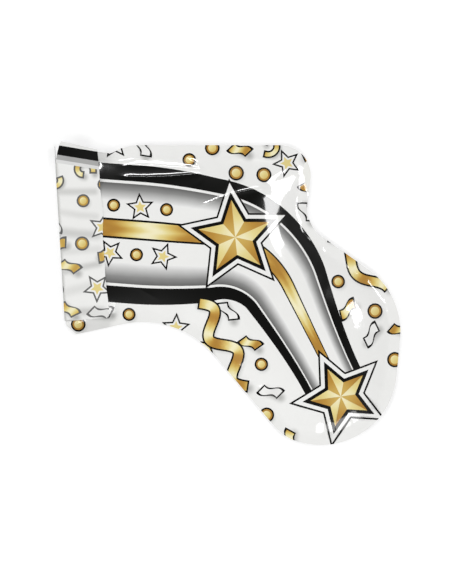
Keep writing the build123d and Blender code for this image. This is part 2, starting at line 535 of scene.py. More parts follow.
def path_tone(path: Points, low: float, high: float, waves: float, shift: float) -> Tone:
    """Tone that swings in waves along a bent path, as light does on a curling ribbon.

    Args:
        path: Samples of the path.
        low: Lowest tone.
        high: Highest tone.
        waves: Number of waves along the path.
        shift: Share of a wave that the first one is moved by.

    Returns:
        Function that gives each point the tone of its nearest sample.
    """

    def tone(points: Points) -> Values:
        """Swing with the share of the way along the path."""
        share = distances(points, path).argmin(axis=1) / (len(path) - 1)
        return swing(low, high, waves * share + shift)

    return tone


def soft_tone(path: Points, radius: float, depth: float) -> Tone:
    """Soft spot round a path: darkest on the path and nothing at the radius."""
    return lambda points: depth * smooth(1 - chord_gap(points, path) / radius)


@dataclass(frozen=True)
class PrintedArea:
    """One area of the print: its outline, its ink and its tone."""

    outline: Points
    ink: Ink
    tone: Tone


@dataclass(frozen=True)
class Streamer:
    """A printed streamer: its ends, how far it swings to each side, its number of swings and its width."""

    start: Pair
    end: Pair
    reach: float
    waves: float
    width: float


@dataclass
class Artwork:
    """Areas of a print in painting order, shadows on its white ground, and the motifs that add them."""

    areas: list[PrintedArea] = field(default_factory=list)
    shadows: list[Tone] = field(default_factory=list)
    # Outlines
    stroke: float = 1.25
    line_ink: Ink = Ink.BLACK
    line_tone: float = 0.1
    # Lowest and highest tone of gold and white strips
    gold_sheen: Pair = (0.15, 0.95)
    white_sheen: Pair = (0.0, 0.16)
    sheen_shift: float = 0.2
    gold_lift: float = 0.0
    # Soft shadows
    shadow_shift: Pair = (1.3, -1.7)
    shadow_spread: float = 2.6
    shadow_depth: float = 0.75
    # Shapes of the motifs, as shares of their sizes where they aren't millimetres
    disc_sides: int = 32
    disc_shadow: tuple[Pair, Pair] = ((0.0, 0.0), (0.1, 0.0))
    disc_shadow_spread: float = 2.4
    rim_tone: float = 0.12
    face_share: float = 0.72
    face_tones: Pair = (0.95, 0.5)
    star_waist: float = 0.46
    star_line: float = 1.9
    star_edge: float = 1.0
    star_tone: float = 0.72
    flag_samples: int = 13
    flag_width: float = 5.6
    flag_slant: float = 0.4
    flag_sway: float = 0.13
    flag_bend: float = 2.6
    flag_waves: float = 0.9
    curl_samples: int = 24
    curl_turn: float = 1.5 * pi
    curl_winding: float = 0.5
    curl_width: float = 0.42
    curl_waves: float = 1.5
    streamer_samples: int = 40
    # Sizes and order of the scattered motifs
    disc_radius: float = 3.9
    disc_change: float = 0.5
    star_radius: float = 5.0
    curl_radius: float = 7.0
    gold_flag_length: float = 12.0
    white_flag_length: float = 13.0
    motifs: tuple[Motif, ...] = (
        Motif.DISC,
        Motif.GOLD_FLAG,
        Motif.WHITE_FLAG,
        Motif.STAR,
        Motif.DISC,
        Motif.GOLD_FLAG,
        Motif.CURL,
    )

    def add(self, outline: Points, ink: Ink, tone: Tone | float = 0.0) -> None:
        """Add one area on top of the others, with one tone or a function that gives points their tone."""
        self.areas.append(PrintedArea(outline, ink, tone if callable(tone) else even(tone)))

    def shadow(self, path: Points, radius: float) -> None:
        """Add the soft grey shadow that a motif along a path casts on the white ground."""
        self.shadows.append(soft_tone(path + self.shadow_shift, radius, self.shadow_depth))

    def ground(self, points: Points) -> Values:
        """Tone of the white ground: the deepest of all shadows."""
        return np.max([np.zeros(len(points)), *(shadow(points) for shadow in self.shadows)], axis=0)

    def sheen(self, ink: Ink) -> Pair:
        """Lowest and highest tone along a strip of an ink."""
        low, high = self.gold_sheen if ink is Ink.GOLD else self.white_sheen
        return low + self.gold_lift, high

    def disc(self, centre: Points, radius: float) -> None:
        """Add a gold disc with a dark rim and a lighter face.

        Args:
            centre: Middle of the disc.
            radius: Its radius inside the outline.
        """
        around = direction(np.arange(self.disc_sides) * 2 * pi / self.disc_sides)
        self.shadow(centre + self.disc_shadow, radius + self.disc_shadow_spread)
        self.add(centre + (radius + self.stroke) * around, self.line_ink, self.line_tone)
        self.add(centre + radius * around, Ink.GOLD, self.rim_tone + self.gold_lift)
        face = sweep_tone(centre + (-radius, radius), centre + (radius, -radius), *self.face_tones)
        self.add(centre + self.face_share * radius * around, Ink.GOLD, face)

    def star(self, centre: Points, radius: float, turn: float) -> None:
        """Add a small plain gold star with a white edge and a dark outline.

        Args:
            centre: Middle of the star.
            radius: Distance of its tips.
            turn: Angle of the first tip in radians.
        """
        for share, ink, tone in (
            (self.star_line, self.line_ink, self.line_tone),
            (self.star_edge, Ink.WHITE, 0.0),
            (0.0, Ink.GOLD, self.star_tone),
        ):
            outline = star_outline(centre, radius, self.star_waist * radius, turn, share * self.stroke)
            self.add(outline, ink, tone)

    def ribbon(self, path: Points, width: float, waves: float) -> None:
        """Add a gold ribbon with a dark outline.

        Args:
            path: Middle line.
            width: Width of the ribbon.
            waves: Light and dark waves along it.
        """
        half = width / 2
        self.shadow(path, half + self.shadow_spread)
        self.add(ribbon_outline(path, half + self.stroke, self.stroke), self.line_ink, self.line_tone)
        tone = path_tone(path, *self.sheen(Ink.GOLD), waves, self.sheen_shift)
        self.add(ribbon_outline(path, half), Ink.GOLD, tone)

    def flag(self, centre: Points, turn: float, length: float, ink: Ink) -> None:
        """Add a short confetti strip that waves like a flag: its long sides are one S-curve, a step apart.

        Args:
            centre: Middle of the strip.
            turn: Angle of its length in radians.
            length: Length.
            ink: Ink of its face.
        """
        share = np.linspace(-1, 1, self.flag_samples)[:, None]
        ahead = direction(np.array(turn))
        side = leftward(ahead)
        half = length / 2 * ahead
        tone = sweep_tone(centre - half, centre + half, *self.sheen(ink), self.flag_waves, self.sheen_shift)
        self.shadow(centre + share * half, self.flag_width / 2 + self.shadow_spread)
        for stroke, fill, paint in ((self.stroke, self.line_ink, self.line_tone), (0.0, ink, tone)):
            path = centre + (length / 2 + stroke) * share * ahead
            path += self.flag_sway * length * np.sin(self.flag_bend * share) * side
            reach = (self.flag_width / 2 + stroke) * (side + self.flag_slant * ahead)
            self.add(np.concatenate((path - reach, (path + reach)[::-1])), fill, paint)

    def curl(self, centre: Points, turn: float, size: float) -> None:
        """Add a gold strip that winds in by three quarters of a turn.

        Args:
            centre: Middle of the turn.
            turn: Angle of its outer end in radians.
            size: Radius at its outer end.
        """
        share = np.linspace(0, 1, self.curl_samples)
        radius = size * (1 - self.curl_winding * share)
        path = centre + radius[:, None] * direction(turn + self.curl_turn * share)
        self.ribbon(path, self.curl_width * size, self.curl_waves)

    def serpentine(self, streamer: Streamer) -> None:
        """Add a gold streamer: a sine to both sides of the line between its ends.

        Args:
            streamer: The streamer.
        """
        start, end = np.array((streamer.start, streamer.end))
        share = np.linspace(0, 1, int(self.streamer_samples * streamer.waves) + 1)[:, None]
        sway = streamer.reach * np.sin(2 * pi * streamer.waves * share) * leftward(unit(end - start))
        self.ribbon(start + share * (end - start) + sway, streamer.width, 2 * streamer.waves)

    def confetti(self, places: Points) -> None:
        """Add a scatter of confetti motifs, in turn of kind.

        Args:
            places: Middle of each motif.
        """
        for number, place in enumerate(places):
            turn = GOLDEN_ANGLE * number
            motif = self.motifs[number % len(self.motifs)]
            if motif is Motif.DISC:
                self.disc(place, self.disc_radius + self.disc_change * sin(number))
            elif motif is Motif.GOLD_FLAG:
                self.flag(place, turn, self.gold_flag_length, Ink.GOLD)
            elif motif is Motif.WHITE_FLAG:
                self.flag(place, turn, self.white_flag_length, Ink.WHITE)
            elif motif is Motif.STAR:
                self.star(place, self.star_radius, turn)
            else:
                self.curl(place, turn, self.curl_radius)


def scattered(low: Pair, high: Pair, room: Measure, gap: float, tries: int) -> Points:
    """Scatter places evenly but without order, by a low-discrepancy sequence and a least gap.

    Args:
        low: Lowest corner of the area.
        high: Highest corner of the area.
        room: Function that is positive where a place may lie.
        gap: Least distance between two places.
        tries: Places tried.

    Returns:
        Places kept.
    """
    share = (0.5 + np.arange(tries)[:, None] * SCATTER_STEPS) % 1
    places = low + np.subtract(high, low) * share
    kept: list[Points] = []
    for place in places[room(places) > 0]:
        if all(np.linalg.norm(place - other) > gap for other in kept):
            kept.append(place)
    return np.array(kept)


# Meshes

@dataclass(frozen=True)
class Partition:
    """A flat area cut into triangles along its print: points, triangles, and the ink and tones of each."""

    points: Points
    triangles: Points
    inks: Values
    tones: Values


def compacted(points: Points, triangles: Points, inks: Values, tones: Values) -> Partition:
    """Make a partition without the points that no triangle uses."""
    used, compact = np.unique(triangles, return_inverse=True)
    return Partition(points[used], compact.reshape(-1, 3), inks, tones)


def lattice(low: Points, high: Points, spacing: float) -> Points:
    """Fill a box with an even triangular lattice: every other row is moved by half a spacing.

    Args:
        low: Lowest corner of the box.
        high: Highest corner of the box.
        spacing: Distance between neighbours.

    Returns:
        Points of the lattice.
    """
    rows = np.arange(low[1], high[1], spacing * sqrt(0.75))
    columns = np.arange(low[0], high[0], spacing)
    x = columns[None, :] + (np.arange(len(rows)) % 2)[:, None] * spacing / 2
    return np.stack((x, np.broadcast_to(rows[:, None], x.shape)), axis=-1).reshape(-1, 2)


def counter_clockwise(outline: Points) -> Points:
    """Put a closed outline in counter-clockwise order.

    Args:
        outline: The outline in either order.

    Returns:
        The outline in the order in which its signed area is above zero.
    """
    ahead = np.roll(outline, -1, axis=0)
    area = (outline[:, 0] * ahead[:, 1] - outline[:, 1] * ahead[:, 0]).sum()
    return outline if area > 0 else outline[::-1]


def drawn_in(outline: Points, depth: float) -> Points:
    """Move the points of a closed outline inwards, square to the line through their neighbours."""
    line = counter_clockwise(outline)
    return line + depth * leftward(unit(np.roll(line, -1, axis=0) - np.roll(line, 1, axis=0)))


def cut_partition(
    outlines: list[Points], art: Artwork, spacing: float, extra: Points = NO_POINTS
) -> Partition:
    """Triangulate the area that lies inside all outlines, along the edges of its print.

    Args:
        outlines: Closed outlines whose common inside is kept.
        art: Print.
        spacing: Spacing of the lattice that fills the area.
        extra: More points to pass through.

    Returns:
        The triangles, each with the ink and corner tones of the topmost area over it.
    """
    polygons = [counter_clockwise(outline) for outline in (*outlines, *(area.outline for area in art.areas))]
    ends = np.cumsum([len(polygon) for polygon in polygons]).tolist()
    faces = [list(range(start, end)) for start, end in zip([0, *ends], ends)]
    fill = lattice(outlines[0].min(axis=0), outlines[0].max(axis=0), spacing)
    vectors = [Vector(point) for point in np.concatenate((*polygons, fill, extra)).tolist()]
    found, _, cut, _, _, owners = delaunay_2d_cdt(vectors, [], faces, 1, MERGE_DISTANCE)
    points = np.array([tuple(vector) for vector in found])
    triangles = np.array(cut)
    covers = np.zeros((len(triangles), len(polygons)), bool)
    rows = np.repeat(np.arange(len(triangles)), [len(owner) for owner in owners])
    covers[rows, np.concatenate([np.array(owner, int) for owner in owners])] = True
    kept = covers[:, :len(outlines)].all(axis=1)
    triangles = triangles[kept]
    top = len(art.areas) - covers[kept, len(outlines) - 1:][:, ::-1].argmax(axis=1)
    inks = np.array([Ink.WHITE.value, *(area.ink.value for area in art.areas)])[top]
    corners = points[triangles]
    tones = np.zeros(triangles.shape)
    for number, tone in enumerate((art.ground, *(area.tone for area in art.areas))):
        mine = top == number
        if mine.any():
            tones[mine] = tone(corners[mine].reshape(-1, 2)).reshape(-1, 3)
    way_a = corners[:, 1] - corners[:, 0]
    way_b = corners[:, 2] - corners[:, 0]
    clockwise = way_a[:, 0] * way_b[:, 1] < way_a[:, 1] * way_b[:, 0]
    triangles[clockwise] = triangles[clockwise][:, ::-1]
    tones[clockwise] = tones[clockwise][:, ::-1]
    return compacted(points, triangles, inks, tones)


def surface_normals(surface: Surface, points: Points, step: float = 0.05) -> Points:
    """Normals of a surface: the cross product of its two slopes, each from a small step to both sides."""
    slopes = [surface(points + axis) - surface(points - axis) for axis in np.eye(2) * step]
    return unit(np.cross(*slopes))


def closed_sheet(
    name: str,
    part: Partition,
    upper: Points,
    lower: Points,
    normals: Points,
    materials: list[bpy.types.Material],
    printed: PrintedSide = PrintedSide.UPPER,
) -> bpy.types.Object:
    """Build a closed thin piece: the triangles on an upper and a lower surface, and a wall round the edge.

    Args:
        name: Name of the piece.
        part: Triangles and their print.
        upper: Places of the points on the upper surface.
        lower: Places of the points on the lower surface.
        normals: Normals of the upper surface.
        materials: Materials: the inks in order and then the plain side, or one for the whole piece.
        printed: Side that has the print.

    Returns:
        The new object.
    """
    count = len(part.points)
    triangles = part.triangles
    edges = np.concatenate([triangles[:, [0, 1]], triangles[:, [1, 2]], triangles[:, [2, 0]]])
    rim = edges[~np.isin(edges[:, 0] * count + edges[:, 1], edges[:, 1] * count + edges[:, 0])]
    wall = np.stack((rim[:, 0] + count, rim[:, 1] + count, rim[:, 1], rim[:, 0]), axis=1)
    mesh = bpy.data.meshes.new(name)
    faces = [*triangles.tolist(), *(triangles[:, ::-1] + count).tolist(), *wall.tolist()]
    mesh.from_pydata((np.concatenate((upper, lower)) * MM).tolist(), [], faces)
    for material in materials:
        mesh.materials.append(material)
    if len(materials) > 1:
        plain = np.full(len(triangles), len(materials) - 1)
        blank = np.zeros(part.tones.shape)
        if printed is PrintedSide.UPPER:
            sides = (part.inks, plain)
            tones = (part.tones, blank)
        else:
            sides = (plain, part.inks)
            tones = (blank, part.tones[:, ::-1])
        slots = np.concatenate((*sides, np.full(len(wall), Ink.WHITE.value)))
        mesh.polygons.foreach_set("material_index", slots.astype(np.int32))
        spread = np.concatenate((tones[0].ravel(), tones[1].ravel(), np.zeros(wall.size)))
        tone = mesh.attributes.new("tone", "FLOAT", "CORNER")
        tone.data.foreach_set("value", spread.astype(np.float32))
    mesh.polygons.foreach_set("use_smooth", np.ones(len(faces), bool))
    along = upper[rim[:, 1]] - upper[rim[:, 0]]
    down = lower[rim[:, 0]] - upper[rim[:, 0]]
    out = np.cross(down, along)
    out /= np.maximum(np.linalg.norm(out, axis=1), 1e-9)[:, None]
    top = normals[triangles].reshape(-1, 3)
    bottom = -normals[triangles[:, ::-1]].reshape(-1, 3)
    mesh.normals_split_custom_set(np.concatenate((top, bottom, np.repeat(out, 4, axis=0))).tolist())
    mesh.validate()
    made = bpy.data.objects.new(name, mesh)
    bpy.context.scene.collection.objects.link(made)
    return made


def sheet_along(
    name: str,
    part: Partition,
    surface: Surface,
    levels: Pair,
    materials: list[bpy.types.Material],
    printed: PrintedSide = PrintedSide.UPPER,
) -> bpy.types.Object:
    """Build a closed sheet whose two sides follow a surface, each moved along its normals.

    Args:
        name: Name of the piece.
        part: Triangles and their print.
        surface: Function that gives points their places on the surface.
        levels: How far the upper and the lower side lie above the surface.
        materials: Materials, as for a closed sheet.
        printed: Side that has the print.

    Returns:
        The new object.
    """
    normals = surface_normals(surface, part.points)
    middle = surface(part.points)
    upper, lower = (middle + level * normals for level in levels)
    return closed_sheet(name, part, upper, lower, normals, materials, printed)


def settle(piece: bpy.types.Object, body: str, node: str) -> None:
    """Let a piece ride on a body, stand for its CAD node, and report it.

    Args:
        piece: The new piece.
        body: CAD body that it moves with.
        node: CAD node that it stands for.
    """
    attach(piece, body)
    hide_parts(node)
    LOG.info("%s: %d faces on %s", piece.name, len(piece.data.polygons), body)


# Pouch

@dataclass(frozen=True)
class Crease:
    """A sharp fold line in a film: the points it passes, and the height and half width of its ridge."""

    points: tuple[Pair, ...]
    height: float
    half_width: float
    crest_round: float = 0.3
    end_slope: float = 4.0
    end_start: float = 0.2
    ridge_samples: int = 24
    row_samples: int = 60
    row_offsets: tuple[float, ...] = (-1.6, -0.8, -0.35, 0.0, 0.35, 0.8, 1.6)

    def ridge(self, points: Points) -> Values:
        """Height of the ridge: it falls off exponentially from a rounded crest, and towards both ends.

        Args:
            points: Places in the plane.

        Returns:
            Height at each place.
        """
        path = bent_path(self.points, self.ridge_samples)
        share = share_along(points, path[0], path[-1])
        ends = (smooth(self.end_slope * part + self.end_start) for part in (share, 1 - share))
        crest = np.hypot(chord_gap(points, path), self.crest_round) - self.crest_round
        return self.height * np.exp(-crest / self.half_width) * np.prod(list(ends), axis=0)

    def rows(self) -> Points:
        """Points in rows beside the crease, so that the mesh follows it.

        Returns:
            Points of all rows.
        """
        path = bent_path(self.points, self.row_samples)
        side = headings(path)[1]
        return (path[None] + np.array(self.row_offsets)[:, None, None] * side[None]).reshape(-1, 2)


@dataclass(frozen=True)
class Ripple:
    """A slow wave of the film's free edge: its height, its runs along x and y per radian, and its phase."""

    height: float
    x_run: float
    y_run: float
    phase: float

    def lift(self, points: Points) -> Values:
        """Height times the sine of x and y over their runs."""
        x, y = points.T
        return self.height * np.sin(x / self.x_run + y / self.y_run + self.phase)


@dataclass(frozen=True)
class PuckerRow:
    """Small folds across the seal: height, spacing along it, reach inwards, and how the spacing wanders."""

    height: float
    spacing: float
    reach: float
    wander: float
    wander_run: float
    wander_phase: float = 0.0

    def lift(self, gap: Values, place: Values) -> Values:
        """Sine along the edge with a wandering phase, which falls off exponentially inwards."""
        wander = self.wander * np.sin(place / self.wander_run + self.wander_phase)
        return self.height * np.sin(2 * pi * place / self.spacing + wander) * np.exp(-gap / self.reach)


@dataclass(frozen=True)
class TautFacet:
    """A patch beside the neck where a tilted plane holds the film down."""

    place: Pair = (34.0, 70.0)
    level: float = 8.0
    turn: float = 16.0
    slope: float = 0.215
    half_width: float = 15.0
    side_ease: float = 1.6
    back_ease: float = 12.0
    rounding: float = 0.1

    def hold(self, points: Points, height: Values) -> Values:
        """Hold a film down: the rounded minimum of its height and the plane, eased in round the patch.

        Args:
            points: Places in the plane.
            height: Height of the film there.

        Returns:
            Height of the held film.
        """
        ahead, aside = turned(points - self.place, -self.turn).T
        plane = self.level - self.slope * ahead
        lower = (height + plane - np.sqrt((height - plane) ** 2 + self.rounding)) / 2
        share = smooth(self.side_ease - np.abs(aside) / self.half_width)
        return height + (lower - height) * share * smooth(ahead, -self.back_ease, self.back_ease)


@dataclass(frozen=True)
class FoldFrame:
    """Axes of the muzzle fold: x inward from the fold and y along it."""

    origin: Pair = (-117.0, -18.7)
    tilt: float = 3.45
    length: float = 127.0
    corner_run: float = 20.0
    corner_inset: float = 4.0

    def corner(self, along: Values) -> Values:
        """Inset of the film's edge near the upper end: it grows with the square of the way past its start."""
        past = np.maximum(along - self.length + self.corner_run, 0.0) / self.corner_run
        return self.corner_inset * past * past

    def to_part(self, points: Points) -> Points:
        """Turn places in the fold's axes into places in the part's."""
        return turned(points, self.tilt) + self.origin

    def from_part(self, points: Points) -> Points:
        """Turn places in the part's axes into places in the fold's."""
        return turned(points - self.origin, -self.tilt)


@dataclass(frozen=True)
class Stripe:
    """One printed stripe: its outer and inner edge as shares of the half width, its ink and its tones.

    The tone runs from the outer to the inner edge, or swings in waves along the stripe.
    """

    outer: float
    inner: float
    ink: Ink
    outer_tone: float = 0.0
    inner_tone: float = 0.0
    waves: float = 0.0


@dataclass
class StripeTrack:
    """Printed stripes that run along the barrel, round a bend and down the grip, and narrow as they go."""

    start: Pair = (-150.0, 50.0)
    bend: Pair = (26.0, 36.5)
    end: Pair = (78.0, -66.0)
    bend_radius: float = 62.0
    samples: tuple[int, int, int] = (90, 40, 60)
    half_width: float = 50.0
    end_share: float = 0.44
    taper_start: float = 0.3
    glint_bend: float = 0.35
    glint_waves: float = 9.0
    stripes: tuple[Stripe, ...] = (
        Stripe(1.0, 0.76, Ink.BLACK, 0.1, 0.1),
        Stripe(0.76, 0.72, Ink.WHITE),
        Stripe(0.72, 0.46, Ink.SILVER, 0.12, 0.95),
        Stripe(0.46, 0.21, Ink.WHITE),
        Stripe(0.21, 0.18, Ink.BLACK, 0.1, 0.1),
        Stripe(0.18, -0.05, Ink.GOLD, 0.15, 0.95, 4.5),
        Stripe(-0.05, -0.08, Ink.BLACK, 0.1, 0.1),
        Stripe(-0.08, -0.42, Ink.WHITE),
        Stripe(-0.42, -0.72, Ink.SILVER, 0.95, 0.12),
        Stripe(-0.72, -0.76, Ink.WHITE),
        Stripe(-0.76, -1.0, Ink.BLACK, 0.1, 0.1),
    )

    def __post_init__(self) -> None:
        """Sample the middle line, its sides and its half width."""
        barrel_count, arc_count, grip_count = self.samples
        corners = np.array((self.start, self.bend, self.end))
        bent = RoundedPath(corners, np.array((0.0, self.bend_radius, 0.0)))
        arc = bent.arc(1, arc_count)
        barrel = np.linspace(self.start, arc[0], barrel_count)[:-1]
        grip = np.linspace(arc[-1], self.end, grip_count)[1:]
        self.path = np.concatenate((barrel, arc, grip))
        self.side = headings(self.path)[1]
        length = np.cumsum(np.linalg.norm(np.diff(self.path, axis=0, prepend=self.path[:1]), axis=1))
        self.along = length / length[-1]
        taper = smooth(self.along, self.taper_start, 1 - self.taper_start)
        self.reach = self.half_width * (1 - (1 - self.end_share) * taper)

    def line(self, offset: float) -> Points:
        """Line at a share of the half width beside the middle line."""
        return self.path + (offset * self.reach)[:, None] * self.side

    def place(self, along: float, offset: float) -> Points:
        """Point at a share of the way and a share of the half width."""
        return self.line(offset)[np.abs(self.along - along).argmin()]

    def gap(self, points: Points) -> Values:
        """Distance of points outside the stripes, below zero inside them."""
        return (distances(points, self.path) - self.reach).min(axis=1)

    def tone(self, stripe: Stripe, points: Points) -> Values:
        """Tone of a stripe: even from edge to edge, or in slightly bent waves along it.

        Each point takes the offset and the share of the way of its nearest sample.

        Args:
            stripe: The stripe.
            points: Places in the plane.

        Returns:
            Tone at each place.
        """
        near = distances(points, self.path).argmin(axis=1)
        offset = ((points - self.path[near]) * self.side[near]).sum(axis=1) / self.reach[near]
        share = (stripe.outer - offset) / (stripe.outer - stripe.inner)
        if stripe.waves:
            bend = self.glint_bend * np.sin(self.glint_waves * share) / (2 * pi)
            share = swing(0.0, 1.0, stripe.waves * self.along[near] + bend)
        return stripe.outer_tone + (stripe.inner_tone - stripe.outer_tone) * np.clip(share, 0, 1)

    def draw(self, art: Artwork) -> None:
        """Draw all stripes, from the outside to the inside.

        Args:
            art: Print that gets the stripes.
        """
        for stripe in self.stripes:
            band = np.concatenate((self.line(stripe.outer), self.line(stripe.inner)[::-1]))
            art.add(band, stripe.ink, partial(self.tone, stripe))


@dataclass(frozen=True)
class FacetedStar:
    """A big printed star: its middle, the distance of its tips and the angle of the first in degrees."""

    place: Pair
    radius: float
    turn: float


@dataclass
class PouchPrint:
    """Print of the pouch: bent stripes with two faceted stars, small stars and discs, amid confetti."""

    track: StripeTrack = field(default_factory=StripeTrack)
    # Box and spacing of the confetti, and the room that it leaves round other motifs
    low: Pair = (-122.0, -108.0)
    high: Pair = (126.0, 109.0)
    confetti_gap: float = 17.0
    confetti_tries: int = 900
    track_room: float = 5.5
    star_room: float = 5.0
    star_share: float = 1.5
    streamer_room: float = 14.0
    # Small stars and discs along the stripes, in shares of the track's length and half width
    row_span: Pair = (0.17, 0.37)
    row_count: int = 4
    row_offsets: Pair = (-0.29, 0.395)
    row_disc: float = 3.5
    row_star: float = 4.6
    row_turn: float = 47.0
    # Faceted stars: stroke, ink and tone of each edge, and tones of dark and light facets
    big_star: FacetedStar = FacetedStar((5.5, 41.5), 27.0, 96.0)
    end_star: FacetedStar = FacetedStar((81.5, -73.0), 22.0, 44.0)
    star_waist: float = 0.47
    star_edges: tuple[tuple[float, Ink, float], ...] = (
        (6.4, Ink.BLACK, 0.1),
        (5.1, Ink.WHITE, 0.0),
        (2.4, Ink.BLACK, 0.1),
    )
    facet_tones: tuple[Pair, Pair] = ((0.45, 0.1), (0.95, 0.6))
    streamers: tuple[Streamer, ...] = (
        Streamer((-20.0, -6.0), (14.0, -66.0), 7.0, 2.0, 6.5),
        Streamer((74.0, 42.0), (112.0, 2.0), 5.0, 1.25, 6.0),
    )

    def draw(self) -> Artwork:
        """Draw the whole print.

        Returns:
            The print's areas in painting order.
        """
        art = Artwork()
        art.confetti(scattered(self.low, self.high, self.room, self.confetti_gap, self.confetti_tries))
        self.track.draw(art)
        for streamer in self.streamers:
            art.serpentine(streamer)
        for number, along in enumerate(np.linspace(*self.row_span, self.row_count)):
            disc, star = (self.track.place(along, self.row_offsets[(number + at) % 2]) for at in (0, 1))
            art.disc(disc, self.row_disc)
            art.star(star, self.row_star, radians(self.row_turn * number))
        self.draw_star(art, self.big_star)
        self.draw_star(art, self.end_star)
        return art

    def room(self, points: Points) -> Values:
        """Measure the room for a motif beside the stripes, the last star and the streamers.

        Args:
            points: Places in the plane.

        Returns:
            Least room at each place, below zero where there is none.
        """
        last = np.linalg.norm(points - self.end_star.place, axis=1)
        free = [self.track.gap(points) - self.track_room]
        free.append(last - self.star_share * self.end_star.radius - self.star_room)
        for streamer in self.streamers:
            free.append(chord_gap(points, np.array((streamer.start, streamer.end))) - self.streamer_room)
        return np.min(free, axis=0)

    def draw_star(self, art: Artwork, star: FacetedStar) -> None:
        """Draw a gold star: a light and a dark facet on each arm, and an outline in a white edge.

        Args:
            art: Print that gets the star.
            star: The star.
        """
        heart = np.array(star.place)
        shape = (heart, star.radius, self.star_waist * star.radius, radians(star.turn))
        for stroke, ink, tone in self.star_edges:
            art.add(star_outline(*shape, stroke), ink, tone)
        corners = star_outline(*shape)
        for number, corner in enumerate(corners):
            pair = (corner, corners[(number + 1) % len(corners)])
            tone = sweep_tone(heart, pair[number % 2], *self.facet_tones[number % 2])
            art.add(np.stack((heart, *pair)), Ink.GOLD, tone)


